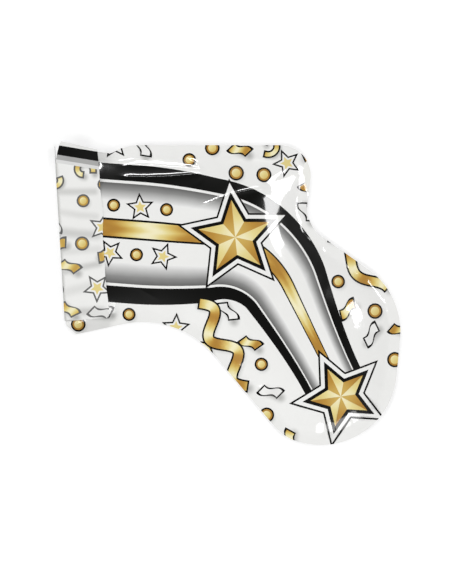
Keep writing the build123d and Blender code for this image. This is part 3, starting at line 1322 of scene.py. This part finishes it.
@dataclass
class Pouch:
    """The two printed films and the melted seal between their margins."""

    fold: FoldFrame = FoldFrame()
    facet: TautFacet = TautFacet()
    # Thickness of a film and of the weld, and the seal
    film: float = 0.25
    weld: float = 0.1
    weld_share: float = 0.9
    seal_width: float = 8.0
    seal_round: float = 1.8
    seal_rows: tuple[float, ...] = (-1.6, -0.6, 0.4, 1.4, 2.6, 4.0)
    rear_seal_z: float = 2.7
    # Crown: its rise, and the distance over which it rises in each region; an ease is a start and a run
    front_rise: float = 7.9
    crown_power: float = 2.2
    rear_run: float = 16.0
    muzzle_run: float = 13.0
    muzzle_ease: Pair = (8.0, 40.0)
    body_run: float = 36.0
    long_run: float = 48.0
    long_share: float = 0.28
    # Slow swell of the open front film, with runs per radian
    swell: float = 0.35
    swell_run: Pair = (17.0, 19.0)
    swell_phase: float = 0.5
    swell_bend: float = 0.8
    swell_bend_run: float = 21.0
    swell_muzzle_ease: Pair = (26.0, 20.0)
    swell_edge_ease: Pair = (12.0, 20.0)
    # Waves and puckers of the margin
    ripples: tuple[Ripple, ...] = (Ripple(0.45, 31.0, 47.0, 0.6), Ripple(0.27, 19.0, -23.0, 2.1))
    ripple_run: float = 22.0
    puckers: tuple[PuckerRow, ...] = (
        PuckerRow(0.252, 10.7, 11.0, 2.2, 41.0),
        PuckerRow(0.3, 23.5, 20.0, 1.4, 57.0, 1.0),
    )
    pucker_ease: Pair = (4.0, 6.0)
    pucker_least: float = 0.35
    pucker_run: float = 67.0
    pucker_phase: float = 0.4
    rear_pucker: float = 0.5
    # Spacing of mesh points
    edge_step: float = 1.4
    lattice_step: float = 1.6
    seal_edge_step: float = 2.0
    seal_lattice_step: float = 3.0
    # Cut of the muzzle beside the fold, and the notch in the top edge
    fold_gap: float = 0.3
    mouth_samples: int = 60
    corner_drop: float = 3.0
    corner_clip: float = 60.0
    cut_reach: float = 400.0
    cut_step: float = 2.5
    notch_x: tuple[float, float, float] = (-106.0, -84.0, -76.0)
    notch_depth: float = 2.6
    notch_floor: float = 90.0
    # Corners of the die-cut outline with their radii
    corners: tuple[tuple[float, float, float], ...] = (
        (-165.0, 104.9, 0.0),
        (-84.3, 104.9, 30.0),
        (-65.3, 108.3, 30.0),
        (63.2, 108.3, 22.0),
        (55.7, 51.1, 26.0),
        (127.7, 0.1, 55.0),
        (116.2, -121.9, 55.0),
        (41.2, -103.6, 37.0),
        (-35.5, -12.5, 68.0),
        (-165.0, -40.5, 0.0),
    )
    creases: tuple[Crease, ...] = (
        Crease(((-80.0, 93.2), (-48.0, 93.0), (-14.0, 90.0)), 0.6, 2.4),
        Crease(((-80.0, 86.0), (-48.0, 85.2), (-14.0, 88.6)), 1.0, 2.4),
        Crease(((-29.0, 60.0), (6.0, 73.0), (40.0, 77.5)), 1.5, 2.5),
        Crease(((-30.0, 99.0), (-19.0, 90.0), (-22.0, 78.0)), 0.35, 1.8),
        Crease(((-86.0, 18.0), (-66.0, 6.0), (-48.0, -4.0)), 0.3, 2.6),
        Crease(((-94.0, 101.0), (-82.0, 97.0), (-66.0, 98.5)), 0.5, 2.4),
    )

    def __post_init__(self) -> None:
        """Work out the die-cut edge."""
        table = np.array(self.corners)
        self.edge = RoundedPath(table[:, :2], table[:, 2], closed=False)

    def crown(self, gap: Values, run: Values | float) -> Values:
        """Share of the rise: a rounded start at the seal, steep, then level after the run.

        Args:
            gap: Distance from the edge.
            run: Distance from the seal over which the film rises.

        Returns:
            One less a power of what is left of the run.
        """
        past = gap - self.seal_width
        start = (past + np.hypot(past, self.seal_round)) / 2
        return 1 - (1 - np.clip(start / run, 0, 1)) ** self.crown_power

    def margin_lift(self, points: Points, gap: Values) -> Values:
        """Slow waves of the free edge, which fade out over the seal margin and the start of the crown."""
        return sum(ripple.lift(points) for ripple in self.ripples) * (1 - smooth(gap / self.ripple_run))

    def pucker(self, gap: Values, place: Values) -> Values:
        """Small folds across the seal's inner edge, where the flat film is drawn in by the puff.

        Args:
            gap: Distance from the edge.
            place: Length along the edge.

        Returns:
            Height of the folds, which are stronger in some stretches of the edge than in others.
        """
        wave = np.sin(place / self.pucker_run + self.pucker_phase)
        strength = self.pucker_least + (1 - self.pucker_least) * wave ** 2
        return strength * smooth(gap, *self.pucker_ease) * sum(row.lift(gap, place) for row in self.puckers)

    def front_height(self, points: Points) -> Values:
        """Height of the front film: crown, margin waves, puckers, a slow swell, creases and the taut facet.

        Args:
            points: Places in the plane.

        Returns:
            Height of the film's outer side.
        """
        gap, place = self.edge.nearest(points)
        inward = self.fold.from_part(points)[:, 0]
        run = self.muzzle_run + (self.body_run - self.muzzle_run) * smooth(inward, *self.muzzle_ease)
        share = (1 - self.long_share) * self.crown(gap, run)
        share += self.long_share * self.crown(gap, self.long_run)
        height = self.rear_seal_z + self.weld + self.film + self.front_rise * share
        height += self.margin_lift(points, gap) + self.pucker(gap, place)
        x, y = (points / self.swell_run).T
        wave = np.sin(x + self.swell_bend * np.sin(points[:, 1] / self.swell_bend_run))
        wave *= smooth(inward, *self.swell_muzzle_ease) * smooth(gap, *self.swell_edge_ease)
        height += self.swell * wave * np.sin(y + self.swell_phase)
        for crease in self.creases:
            height += crease.ridge(points)
        return self.facet.hold(points, height)

    def rear_height(self, points: Points) -> Values:
        """Height of the rear film's underside: level on the floor, and raised to the seal round the margin.

        Args:
            points: Places in the plane.

        Returns:
            Height of the film's outer side.
        """
        gap, place = self.edge.nearest(points)
        height = (self.rear_seal_z - self.film) * (1 - self.crown(gap, self.rear_run))
        height += self.margin_lift(points, gap) + self.rear_pucker * np.abs(self.pucker(gap, place))
        return np.maximum(height, 0.0)

    def front(self, points: Points) -> Points:
        """Outer surface of the front film."""
        return np.column_stack((points, self.front_height(points)))

    def rear(self, points: Points) -> Points:
        """Outer surface of the rear film."""
        return np.column_stack((points, self.rear_height(points)))

    def seal_line(self, points: Points) -> Points:
        """Middle of the seal, which follows the waves of the margin."""
        lift = self.margin_lift(points, self.edge.nearest(points)[0])
        return np.column_stack((points, self.rear_seal_z + self.weld / 2 + lift))

    def die_cut(self, step: float) -> Points:
        """Die-cut outline, drawn in to a shallow notch where the folded closure pulls the top edge.

        Args:
            step: Distance between points.

        Returns:
            Closed outline.
        """
        line = self.edge.outline(step)
        pull = np.interp(line[:, 0], self.notch_x, (0.0, self.notch_depth, 0.0))
        line[:, 1] -= pull * (line[:, 1] > self.notch_floor)
        return line

    def muzzle_cut(self) -> Points:
        """Area that the muzzle's cut, its drawn-in upper corner and its clipped lower corner leave.

        Returns:
            Closed outline, far out on the other sides.
        """
        far = self.cut_reach
        clip = self.corner_clip
        drop = self.corner_drop + self.fold_gap
        along = np.linspace(self.fold.length, -drop, self.mouth_samples)
        mouth = np.column_stack((self.fold_gap + self.fold.corner(along), along))
        rest = ((clip, -drop - clip + self.fold_gap), (far, -far), (far, far), (mouth[0, 0], far))
        return refined(self.fold.to_part(np.concatenate((mouth, rest))), self.cut_step)

    def build(self, shelf: FinishShelf) -> None:
        """Build both films and the seal.

        Args:
            shelf: Materials of the finishes.
        """
        outline = self.die_cut(self.edge_step)
        art = PouchPrint().draw()
        rows = [crease.rows() for crease in self.creases]
        rows += [drawn_in(outline, self.seal_width + offset) for offset in self.seal_rows]
        part = cut_partition([outline, self.muzzle_cut()], art, self.lattice_step, np.concatenate(rows))
        LOG.info("print: %d areas, %d triangles", len(art.areas), len(part.triangles))
        inks = [shelf.take(finish) for finish in FILM_FINISHES]
        for name, surface, levels, side, node in (
            ("printed_front_film", self.front, (0.0, -self.film), PrintedSide.UPPER, "front_film"),
            ("printed_rear_film", self.rear, (self.film, 0.0), PrintedSide.LOWER, "rear_film"),
        ):
            film = sheet_along(name, part, surface, levels, inks, side)
            settle(film, "pouch", node)
        self.build_seal(shelf)

    def build_seal(self, shelf: FinishShelf) -> None:
        """Build the thin layer of sealant: a ring between the die-cut edge and the seal's inner edge.

        Args:
            shelf: Materials of the finishes.
        """
        outlines = [self.die_cut(self.seal_edge_step), self.muzzle_cut()]
        whole = cut_partition(outlines, Artwork(), self.seal_lattice_step)
        middle = whole.points[whole.triangles].mean(axis=1)
        margin = self.edge.nearest(middle)[0] < self.seal_width
        ring = compacted(whole.points, whole.triangles[margin], whole.inks[margin], whole.tones[margin])
        line = self.seal_line(ring.points)
        normals = surface_normals(self.seal_line, ring.points)
        half = (0.0, 0.0, self.weld_share * self.weld / 2)
        sealant = [shelf.take(SEALANT)]
        seal = closed_sheet("melted_edge_seal", ring, line + half, line - half, normals, sealant)
        settle(seal, "pouch", "edge_seal")


# Muzzle closure

@dataclass
class MuzzleClosure:
    """Strip of the rear film that wraps round the mouth: the end panel, the flap and its adhesive."""

    pouch: Pouch
    # End panel
    low_z: float = 0.125
    high_z: float = 11.195
    end_inset: float = 1.0
    corner_run: float = 16.0
    corner_z: float = 2.8
    nose_bulge: float = 0.1
    nose_step: float = 1.2
    # Flap: its outline, and the height, run and phase of the waves of its free edge
    flap_length: float = 31.4
    flap_taper: float = 7.5
    flap_rise: float = 2.3
    flap_samples: int = 80
    flap_step: float = 1.4
    edge_waves: tuple[tuple[float, float, float], ...] = ((0.45, 11.0, 0.7), (0.3, 5.3, 0.0))
    # Sag in waves, and droop at both ends
    sag: float = 0.55
    sag_run: float = 9.0
    sag_middle: float = 0.5
    long_wave: float = 0.32
    long_run: float = 9.5
    long_bend: float = 0.9
    long_bend_run: float = 17.0
    short_wave: float = 0.18
    short_run: float = 5.3
    short_slant: float = 6.0
    droop: float = 2.6
    droop_run: float = 17.0
    upper_droop: float = 0.8
    # Adhesive strip
    adhesive: float = 0.12
    adhesive_gap: float = 0.05
    adhesive_width: float = 8.0
    adhesive_inset: float = 4.0
    adhesive_step: float = 2.0
    # Print: confetti, soft grey streaks of painted shade that run in from the crease, painted shade along the
    # rounded crease, and stripes by width, ink and tone
    print_low: Pair = (-125.0, -18.0)
    print_high: Pair = (-84.0, 92.0)
    confetti_gap: float = 15.0
    confetti_tries: int = 200
    # Soft grey streaks of painted shade: their ends, spacing, reach inward, lean, radius and depth
    streak_ends: Pair = (6.0, 20.0)
    streak_gap: float = 14.5
    streak_inward: tuple[float, float, float] = (1.0, 14.0, 27.0)
    streak_lean: tuple[float, float, float] = (0.0, 3.0, 5.0)
    streak_radius: float = 5.0
    streak_depth: float = 0.34
    streak_change: float = 0.12
    # Radius and depth of the painted shade along the crease, which stands in for the shade of the rounded
    # fold
    crease_shade_radius: float = 2.4
    crease_shade_depth: float = 0.7
    stripe_overrun: float = 1.0
    stripe_step: float = 3.0
    top_stripes: tuple[tuple[float, Ink, float], ...] = (
        (2.0, Ink.WHITE, 0.1),
        (7.0, Ink.BLACK, 0.1),
        (3.5, Ink.SILVER, 0.55),
        (2.5, Ink.SILVER, 0.85),
    )

    def nose(self, points: Points) -> Points:
        """Outer surface of the end panel, which bows out like half a sine.

        Args:
            points: Height above the panel's foot, and length along the fold.

        Returns:
            Places in the part.
        """
        height, along = points.T
        share = np.clip(height / (self.high_z - self.low_z), 0, 1)
        ground = self.pouch.fold.to_part(np.column_stack((-self.nose_bulge * np.sin(pi * share), along)))
        return np.column_stack((ground, self.low_z + height))

    def flap(self, points: Points) -> Points:
        """Middle of the flap: level at the crease, sagging in waves to its free edge, drooping at both ends.

        It never rises above the crease, so that it lies flat on a table when the closure is folded open.

        Args:
            points: Places in the plane.

        Returns:
            Places on the flap.
        """
        inward, along = self.pouch.fold.from_part(points).T
        ends = smooth(1 - along / self.droop_run)
        ends += self.upper_droop * smooth(along, self.pouch.fold.length - self.droop_run, self.droop_run)
        long = np.sin(along / self.long_run + self.long_bend * np.sin(along / self.long_bend_run))
        short = np.sin(along / self.short_run + inward / self.short_slant)
        wave = self.sag_middle + self.long_wave * long + self.short_wave * short
        height = self.high_z - self.droop * smooth(inward / self.flap_length) * ends
        height -= self.sag * smooth(inward / self.sag_run) * wave
        floor = self.pouch.front_height(points) + self.pouch.film / 2 + self.adhesive + self.adhesive_gap
        return np.column_stack((points, np.minimum(np.maximum(height, floor), self.high_z)))

    def flap_outline(self) -> Points:
        """Outline of the flap: straight crease, slanted top and slightly wavy free edge.

        Returns:
            Closed outline in the part's axes.
        """
        fold = self.pouch.fold
        top = fold.length + self.flap_rise
        along = np.linspace(0, top - self.flap_taper, self.flap_samples)
        wave = sum(height * np.sin(along / run + phase) for height, run, phase in self.edge_waves)
        free = np.column_stack((self.flap_length + wave, along))
        down = np.linspace(top, 0, self.flap_samples)
        crease = np.column_stack((fold.corner(down), down))
        return fold.to_part(np.concatenate((free, crease)))

    def flap_print(self) -> Artwork:
        """Pale print of the flap: stripes along its slanted top and confetti, with soft grey streaks and a
        soft grey line along the crease that are painted shade.

        Returns:
            The print.
        """
        art = Artwork(line_ink=Ink.SILVER, line_tone=0.12, gold_lift=0.2)
        box = (self.print_low, self.print_high)
        art.confetti(scattered(*box, even(1.0), self.confetti_gap, self.confetti_tries))
        fold = self.pouch.fold
        first, last = self.streak_ends
        # Soft grey streaks that run in from the crease: painted shade, as of ripples in the flap
        for number, along in enumerate(np.arange(first, fold.length - last, self.streak_gap)):
            streak = np.column_stack((self.streak_inward, along + sin(number) * np.array(self.streak_lean)))
            radius = self.streak_radius + sin(2 * number)
            depth = self.streak_depth + self.streak_change * cos(3 * number)
            art.shadows.append(soft_tone(fold.to_part(streak), radius, depth))
        # A soft grey line along the crease: painted shade of the rounded fold
        crease = fold.to_part(np.array(((0.0, 0.0), (0.0, fold.length))))
        art.shadows.append(soft_tone(crease, self.crease_shade_radius, self.crease_shade_depth))
        height = fold.length + self.flap_rise
        end = self.flap_length + self.stripe_overrun
        top = np.array(((-self.stripe_overrun, height), (end, height - self.flap_taper)))
        edge = 0.0
        for width, ink, tone in self.top_stripes:
            band = np.concatenate((top - (0.0, edge), (top - (0.0, edge + width))[::-1]))
            art.add(refined(fold.to_part(band), self.stripe_step), ink, tone)
            edge += width
        return art

    def build(self, shelf: FinishShelf) -> None:
        """Build the end panel, the flap and the adhesive.

        Args:
            shelf: Materials of the finishes.
        """
        inks = [shelf.take(finish) for finish in FILM_FINISHES]
        self.build_nose(inks)
        part = cut_partition([self.flap_outline()], self.flap_print(), self.flap_step)
        half = self.pouch.film / 2
        flap = sheet_along("printed_closure_flap", part, self.flap, (half, -half), inks)
        settle(flap, "flap", "closure_flap")
        self.build_adhesive(shelf)

    def build_nose(self, inks: list[bpy.types.Material]) -> None:
        """Build the end panel, over which the stripes of the flap run on.

        Args:
            inks: Materials of the film.
        """
        length = self.pouch.fold.length
        tall = self.high_z - self.low_z
        low_end = self.end_inset + self.corner_run
        step = self.corner_z - self.low_z
        corners = (
            (0.0, low_end),
            (step, self.end_inset),
            (tall, self.end_inset),
            (tall, length - self.end_inset),
            (step, length - self.end_inset),
            (0.0, length - low_end),
        )
        art = Artwork()
        edge = length
        left, right = -self.stripe_overrun, tall + self.stripe_overrun
        for width, ink, tone in self.top_stripes:
            box = ((left, edge - width), (right, edge - width), (right, edge), (left, edge))
            art.add(np.array(box), ink, tone)
            edge -= width
        part = cut_partition([refined(np.array(corners), self.nose_step)], art, self.nose_step)
        nose = sheet_along("muzzle_end_film", part, self.nose, (0.0, -self.pouch.film), inks)
        settle(nose, "end_panel", "muzzle_end_panel")

    def build_adhesive(self, shelf: FinishShelf) -> None:
        """Build the adhesive strip under the flap's free edge.

        Args:
            shelf: Materials of the finishes.
        """
        fold = self.pouch.fold
        inset = self.adhesive_inset
        far = self.flap_length - inset
        near = far - self.adhesive_width
        end = fold.length + self.flap_rise - self.flap_taper - inset
        corners = fold.to_part(np.array(((near, inset), (far, inset), (far, end), (near, end))))
        part = cut_partition([refined(corners, self.adhesive_step)], Artwork(), self.adhesive_step)
        top = -self.pouch.film / 2
        levels = (top, top - self.adhesive)
        strip = sheet_along("peel_adhesive", part, self.flap, levels, [shelf.take(ADHESIVE)])
        settle(strip, "flap", "flap_adhesive")


# Contents

@dataclass
class Pillow:
    """A sealed bag lying flat: two films that bulge apart inside their sealed edges."""

    centre: Points
    turn: float
    width: float
    length: float
    seal: float
    seal_z: float
    corner: float = 2.0
    # Spacing of mesh points, and gaps that keep films and filling apart at the seal
    edge_step: float = 1.0
    film_step: float = 1.5
    fill_step: float = 1.2
    film_gap: float = 0.02
    fill_gap: float = 0.05
    # Roundness of the bulge, and its folds
    edge_power: float = 2.6
    bulge_power: float = 0.55
    fold_depth: float = 0.07
    fold_count: int = 11
    fold_bend: float = 0.8
    fold_bend_count: int = 3

    def outline(self, inset: float) -> Points:
        """Outline of the bag, drawn in by an even amount.

        Args:
            inset: How far it is drawn in.

        Returns:
            Closed outline.
        """
        x = self.width / 2 - inset
        y = self.length / 2 - inset
        corners = np.array(((-x, -y), (x, -y), (x, y), (-x, y)))
        local = RoundedPath(corners, np.full(4, self.corner)).outline(self.edge_step)
        return self.centre + turned(local, self.turn)

    def bulge(self, points: Points) -> Values:
        """Share of the rise: none on the seal, full in the middle, with folds that fan in at the corners.

        Args:
            points: Places in the plane.

        Returns:
            A power of the two shares, each one less a power of the way to the seal, times the folds.
        """
        inner = np.array((self.width, self.length)) / 2 - self.seal
        local = turned(points - self.centre, -self.turn) / inner
        share = np.clip(1 - np.abs(local) ** self.edge_power, 0, 1).prod(axis=1)
        angle = np.arctan2(local[:, 1], local[:, 0])
        wave = np.sin(self.fold_count * angle + self.fold_bend * np.sin(self.fold_bend_count * angle))
        return share ** self.bulge_power * (1 + self.fold_depth * wave * (1 - share))

    def film(
        self, name: str, rise: float, thickness: float, material: bpy.types.Material
    ) -> bpy.types.Object:
        """Build one film of the bag.

        Args:
            name: Name of the piece.
            rise: Height of its bulge above the seal, below zero for the lower film.
            thickness: Thickness of the film.
            material: Its material.

        Returns:
            The new piece.
        """
        side = np.sign(rise)

        def surface(points: Points) -> Points:
            """Inner surface of the film."""
            return np.column_stack((points, self.seal_z + self.film_gap * side + rise * self.bulge(points)))

        part = cut_partition([self.outline(0.0)], Artwork(), self.film_step)
        normals = surface_normals(surface, part.points)
        inner = surface(part.points)
        outer = inner + (0.0, 0.0, side * thickness)
        pair = (outer, inner) if side > 0 else (inner, outer)
        return closed_sheet(name, part, *pair, normals, [material])

    def filling(
        self, name: str, inset: float, up: float, down: float, material: bpy.types.Material
    ) -> bpy.types.Object:
        """Build what fills the bag.

        Args:
            name: Name of the piece.
            inset: Distance of its edge from the bag's.
            up: Height of its upper bulge.
            down: Depth of its lower bulge.
            material: Its material.

        Returns:
            The new piece.
        """

        def surface(points: Points) -> Points:
            """Upper surface of the filling."""
            return np.column_stack((points, self.seal_z + self.fill_gap + up * self.bulge(points)))

        part = cut_partition([self.outline(inset)], Artwork(), self.fill_step)
        lower = self.seal_z - self.fill_gap - down * self.bulge(part.points)
        pair = (surface(part.points), np.column_stack((part.points, lower)))
        return closed_sheet(name, part, *pair, surface_normals(surface, part.points), [material])


@dataclass(frozen=True)
class Bag:
    """A clear bag: its upper and lower film and their CAD nodes, its sizes, and the room above and below."""

    films: tuple[str, str]
    nodes: tuple[str, str]
    width: float
    length: float
    seal: float
    room: Pair


@dataclass
class GasPack:
    """Clear bag in the grip with loose powder and a sachet of acid, which make gas when they meet."""

    turn: float = 43.0
    film: float = 0.12
    gas_bag: Bag = Bag(
        ("gas_bag_upper", "gas_bag_lower"),
        ("gas_pack_upper_film", "gas_pack_lower_film"),
        width=56.0,
        length=80.0,
        seal=4.0,
        room=(0.6, 0.12),
    )
    sachet: Bag = Bag(
        ("acid_sachet_upper", "acid_sachet_lower"),
        ("sachet_upper_film", "sachet_lower_film"),
        width=36.0,
        length=36.2,
        seal=2.5,
        room=(0.2, 0.2),
    )
    acid_inset: float = 4.0
    acid_share: float = 0.75
    powder_size: Pair = (36.0, 23.8)
    powder_corner: float = 5.0
    powder_inset: float = 0.5
    powder_lift: float = 0.05
    powder_room: float = 0.2

    def level(self, node: str) -> tuple[Points, float, float]:
        """Middle, lowest and highest level of a CAD node."""
        low, high = (np.array(corner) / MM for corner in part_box(node))
        return (low + high)[:2] / 2, low[2], high[2]

    def build_bag(self, bag: Bag, clear: bpy.types.Material) -> tuple[Pillow, float, float]:
        """Build both films of a bag between the levels of its CAD nodes.

        Args:
            bag: The bag.
            clear: Material of its films.

        Returns:
            Its shape, and its height above and depth below the seal.
        """
        middle, seal_z, top = self.level(bag.nodes[0])
        floor = self.level(bag.nodes[1])[1]
        pillow = Pillow(middle, self.turn, bag.width, bag.length, bag.seal, seal_z)
        rises = (top - seal_z - bag.room[0], floor - seal_z + bag.room[1])
        for name, node, rise in zip(bag.films, bag.nodes, rises):
            settle(pillow.film(name, rise, self.film, clear), "pouch", node)
        return pillow, top - seal_z, seal_z - floor

    def build(self, shelf: FinishShelf) -> None:
        """Build the bag, the sachet with its acid, and the heap of powder.

        Args:
            shelf: Materials of the finishes.
        """
        clear = shelf.take(CLEAR_FILM)
        self.build_bag(self.gas_bag, clear)
        sachet, *reach = self.build_bag(self.sachet, clear)
        up, down = (self.acid_share * length for length in reach)
        acid = sachet.filling("citric_acid_fill", self.acid_inset, up, down, shelf.take(LIQUID))
        settle(acid, "pouch", "citric_solution")
        middle, floor, top = self.level("bicarbonate_powder")
        heap = Pillow(middle, self.turn, *self.powder_size, 0.0, floor + self.powder_lift, self.powder_corner)
        up = top - floor - self.powder_room
        powder = heap.filling("bicarbonate_heap", self.powder_inset, up, 0.0, shelf.take(POWDER))
        settle(powder, "pouch", "bicarbonate_powder")


@dataclass
class ConfettiCharge:
    """Loose confetti in the barrel: flat die-cut pieces that keep their solids and get their finishes."""

    gold: tuple[str, ...] = ("confetti_gold_strips", "confetti_gold_stars", "confetti_gold_discs")
    white: tuple[str, ...] = ("confetti_white_discs", "confetti_white_strips")

    def dress(self, shelf: FinishShelf) -> None:
        """Give each kind of confetti its material.

        Args:
            shelf: Materials of the finishes.
        """
        for names, finish in ((self.gold, GOLD_FLAKE), (self.white, WHITE_TISSUE)):
            for name in names:
                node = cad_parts[name]
                node.data.materials.clear()
                node.data.materials.append(shelf.take(finish))
                LOG.info("%s: %s", name, finish.name)


# Studio

@dataclass(frozen=True)
class Lamp:
    """A soft box: where it stands, how wide and tall it is and how bright its face is."""

    name: str
    place: tuple[float, float, float]
    width: float
    height: float
    radiance: float


@dataclass
class Studio:
    """Pale floor, soft boxes, dim dome and the camera that looks straight down."""

    view_centre: Pair = (-1.1, 2.18)
    view_height: float = 420.48
    camera_z: float = 1410.0
    focus_z: float = 8.0
    sensor: float = 36.0
    clip_end: float = 14100.0
    floor_size: float = 4000.0
    floor_colour: str = "#C4C4C4"
    floor_glow: float = 0.55
    horizon_light: float = 1.15
    zenith_light: float = 0.06
    lamps: tuple[Lamp, ...] = (
        Lamp("key_soft_box", (-1200.0, -485.0, 940.0), 700.0, 700.0, 5.3),
        Lamp("fill_soft_box", (505.0, -1190.0, 940.0), 700.0, 700.0, 5.1),
        Lamp("neck_soft_box", (580.0, 230.0, 1270.0), 250.0, 250.0, 18.0),
        Lamp("barrel_strip_box", (-210.0, 1310.0, 1025.0), 640.0, 80.0, 44.0),
    )

    def build(self) -> None:
        """Build floor, world, lamps and camera."""
        self.build_floor()
        self.build_world()
        for lamp in self.lamps:
            self.build_lamp(lamp)
        self.build_camera()

    def build_floor(self) -> None:
        """Build the floor: white to the eye, with the shadows of a pale matt board."""
        mesh = bpy.data.meshes.new("floor")
        corners = self.floor_size / 2 * MM * np.array(((-1, -1, 0), (1, -1, 0), (1, 1, 0), (-1, 1, 0)))
        mesh.from_pydata(corners.tolist(), [], [(0, 1, 2, 3)])
        made = bpy.data.materials.new("pale_matt_board")
        made.use_nodes = True
        tree = made.node_tree
        tree.nodes.clear()
        light = add_node(tree, "ShaderNodeLightPath").outputs
        seen = light["Is Camera Ray"]
        for ray in ("Is Glossy Ray", "Is Transmission Ray"):
            seen = add_node(tree, "ShaderNodeMath", {0: seen, 1: light[ray]}, operation="MAXIMUM").outputs[0]
        glow = add_node(tree, "ShaderNodeMath", {0: seen, 1: self.floor_glow}, operation="MULTIPLY")
        board = add_node(tree, "ShaderNodeBsdfDiffuse", {"Color": linear(self.floor_colour)})
        white = add_node(tree, "ShaderNodeEmission", {"Strength": glow.outputs[0]})
        both = add_node(tree, "ShaderNodeAddShader", {0: board.outputs[0], 1: white.outputs[0]})
        add_node(tree, "ShaderNodeOutputMaterial", {"Surface": both.outputs[0]})
        mesh.materials.append(made)
        floor = bpy.data.objects.new("floor", mesh)
        bpy.context.scene.collection.objects.link(floor)

    def build_world(self) -> None:
        """Build the dome: dim overhead, brighter towards the horizon, and white where the camera sees it."""
        world = bpy.data.worlds.new("studio_dome")
        world.use_nodes = True
        tree = world.node_tree
        tree.nodes.clear()
        way = add_node(tree, "ShaderNodeTexCoord").outputs["Generated"]
        up = add_node(tree, "ShaderNodeSeparateXYZ", {0: way}).outputs["Z"]
        dome = add_node(
            tree,
            "ShaderNodeMapRange",
            {"Value": up, "To Min": self.horizon_light, "To Max": self.zenith_light},
        )
        seen = add_node(tree, "ShaderNodeLightPath").outputs["Is Camera Ray"]
        strength = add_node(
            tree, "ShaderNodeMix", {0: seen, 2: dome.outputs["Result"], 3: 1.0}, data_type="FLOAT"
        )
        back = add_node(tree, "ShaderNodeBackground", {"Strength": strength.outputs[0]})
        add_node(tree, "ShaderNodeOutputWorld", {"Surface": back.outputs[0]})
        bpy.context.scene.world = world

    def build_lamp(self, lamp: Lamp) -> None:
        """Build one soft box that faces the pouch; its power is radiance times pi times its area.

        Args:
            lamp: The soft box.
        """
        data = bpy.data.lights.new(lamp.name, "AREA")
        data.shape = "RECTANGLE"
        data.size = lamp.width * MM
        data.size_y = lamp.height * MM
        data.energy = lamp.radiance * pi * data.size * data.size_y
        made = bpy.data.objects.new(lamp.name, data)
        made.location = Vector(lamp.place) * MM
        made.rotation_euler = (-made.location).to_track_quat("-Z", "Y").to_euler()
        bpy.context.scene.collection.objects.link(made)

    def build_camera(self) -> None:
        """Build the camera straight above the middle of the view."""
        data = bpy.data.cameras.new("camera")
        data.sensor_width = self.sensor
        data.lens = self.sensor * (self.camera_z - self.focus_z) / self.view_height
        data.clip_end = self.clip_end * MM
        made = bpy.data.objects.new("camera", data)
        made.location = [value * MM for value in (*self.view_centre, self.camera_z)]
        bpy.context.scene.collection.objects.link(made)
        bpy.context.scene.camera = made


def main() -> None:
    """Build the popper's looks and the studio round it."""
    logging.basicConfig(level=logging.INFO, format="%(name)s %(message)s")
    bpy.context.scene.view_settings.view_transform = "Standard"
    shelf = FinishShelf()
    pouch = Pouch()
    pouch.build(shelf)
    MuzzleClosure(pouch).build(shelf)
    GasPack().build(shelf)
    ConfettiCharge().dress(shelf)
    Studio().build()


if __name__ == "__main__":
    main()
